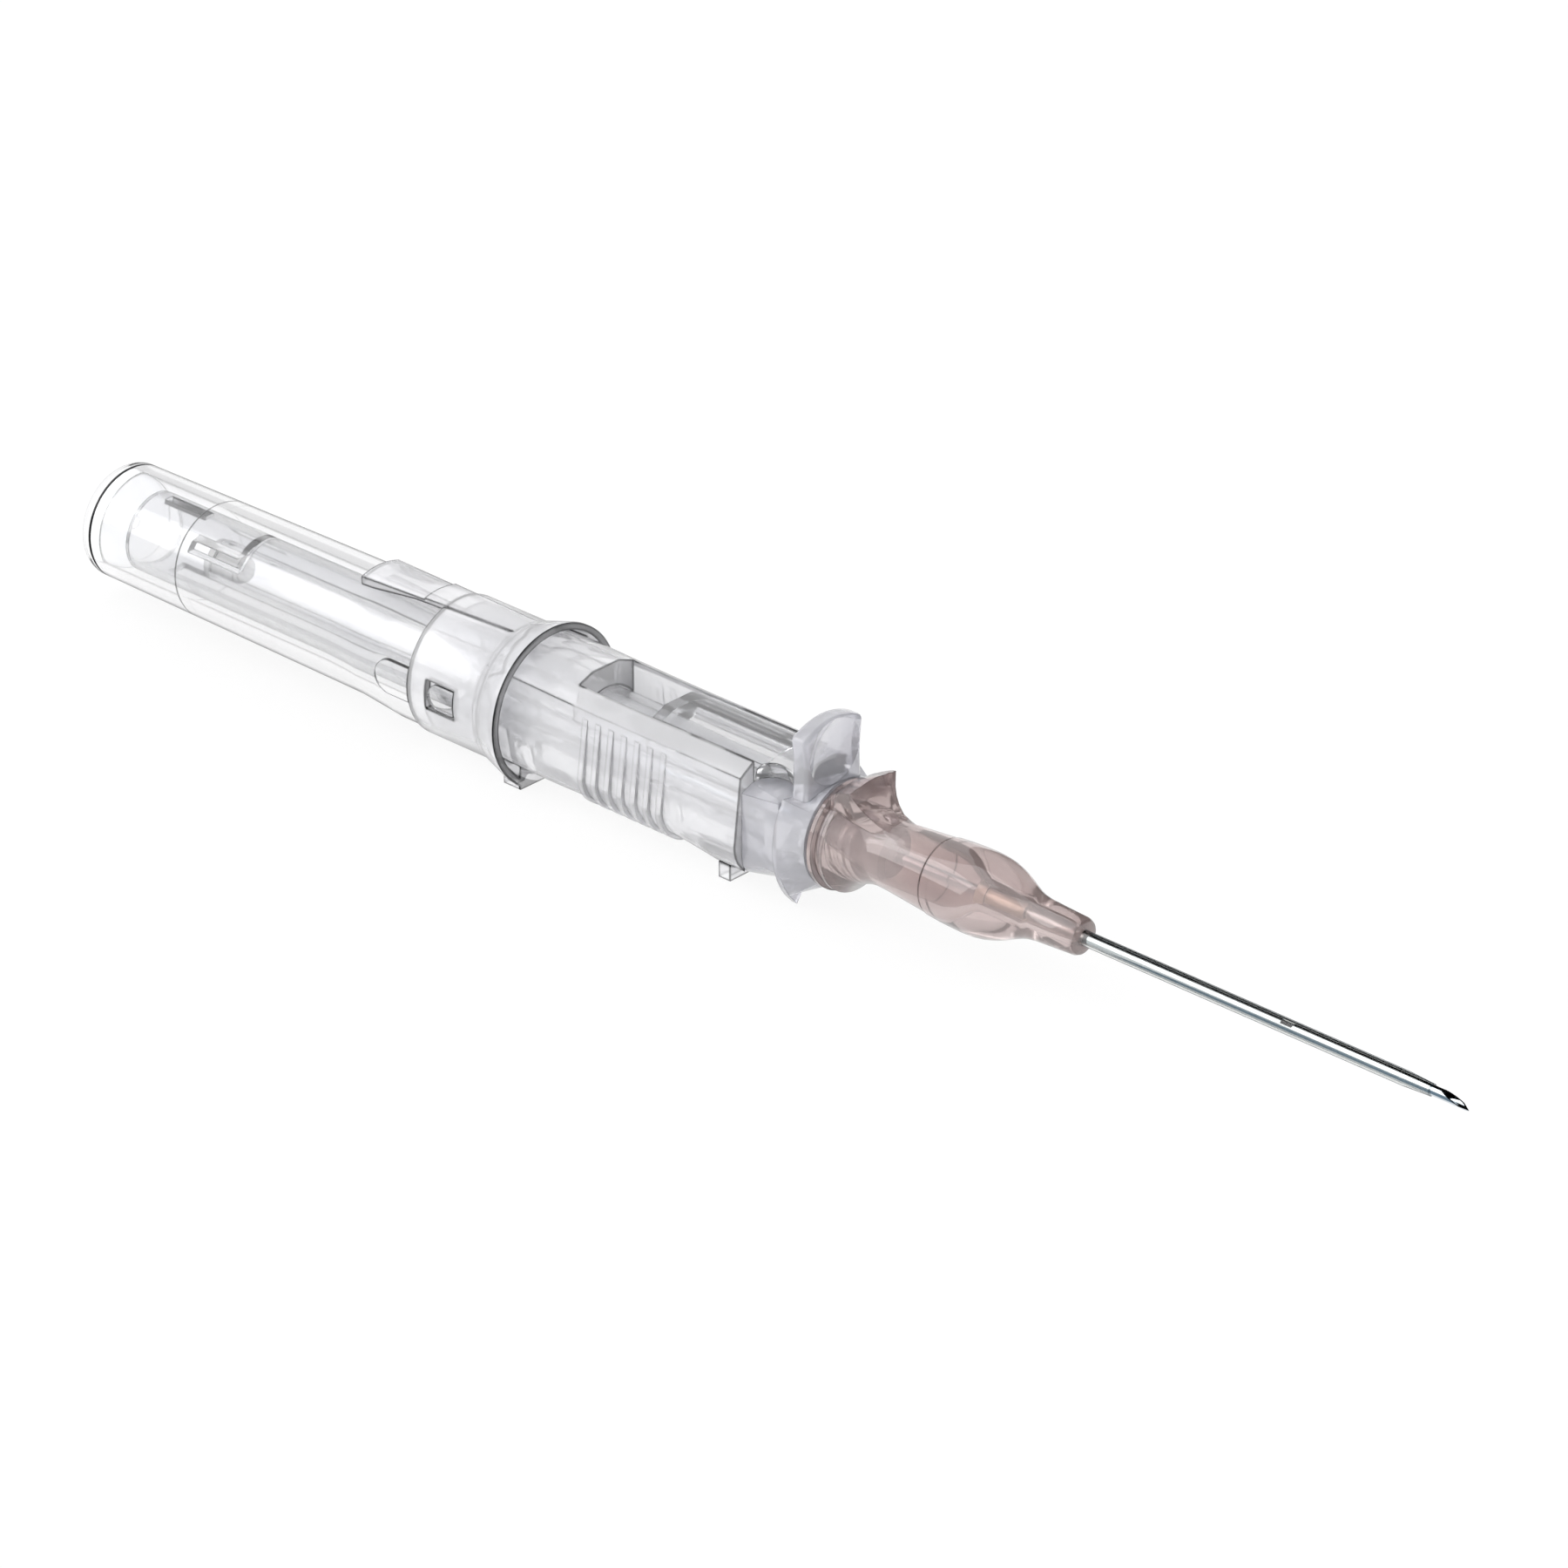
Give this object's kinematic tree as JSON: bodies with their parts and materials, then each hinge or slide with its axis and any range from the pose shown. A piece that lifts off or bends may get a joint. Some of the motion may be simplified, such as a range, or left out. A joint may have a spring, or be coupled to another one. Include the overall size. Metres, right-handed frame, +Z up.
{
  "type": "safety iv cannula",
  "caption": "Intravenous cannula with a clear grooved handle, a guard that slides forward over the needle, and a soft catheter on a tinted hub that slides off the needle.",
  "frame": {"origin": "middle of the cannula's length and width, on the surface it lies on", "axes": "+X along the needle towards its tip, +Z up, the side with the finger tabs"},
  "size_m": [0.1292, 0.0126, 0.014],
  "materials": {
    "clear_handle": "clear polished moulding",
    "frosted_white": "translucent white moulding",
    "clear_chamber": "clear moulding",
    "porous_white": "porous, matt",
    "needle_steel": "bright drawn tube",
    "frosted_guard": "translucent milky moulding",
    "grey_blue_nose": "translucent grey-lilac moulding, glossy",
    "pink_hub": "translucent brownish-pink moulding",
    "catheter_polymer": "thin clear tube",
    "eyelet_steel": "bright"
  },
  "bodies": {
    "handle": {"rear_barrel": "clear_handle", "end_cap": "frosted_white", "front_channel": "clear_handle", "needle_hub": "clear_chamber", "flash_plug": "porous_white", "needle": "needle_steel"},
    "guard": {"needle_guard": "frosted_guard", "guard_nose": "grey_blue_nose"},
    "catheter": {"catheter_hub": "pink_hub", "catheter_tube": "catheter_polymer", "catheter_eyelet": "eyelet_steel"}
  },
  "joints": [
    {"name": "guard_slide", "type": "slide", "parent": "handle", "child": "guard", "axis": [1, 0, 0], "range_m": [0, 0.0564]},
    {"name": "catheter_slide", "type": "slide", "parent": "guard", "child": "catheter", "axis": [1, 0, 0], "range_m": [0, 0.055]}
  ]
}
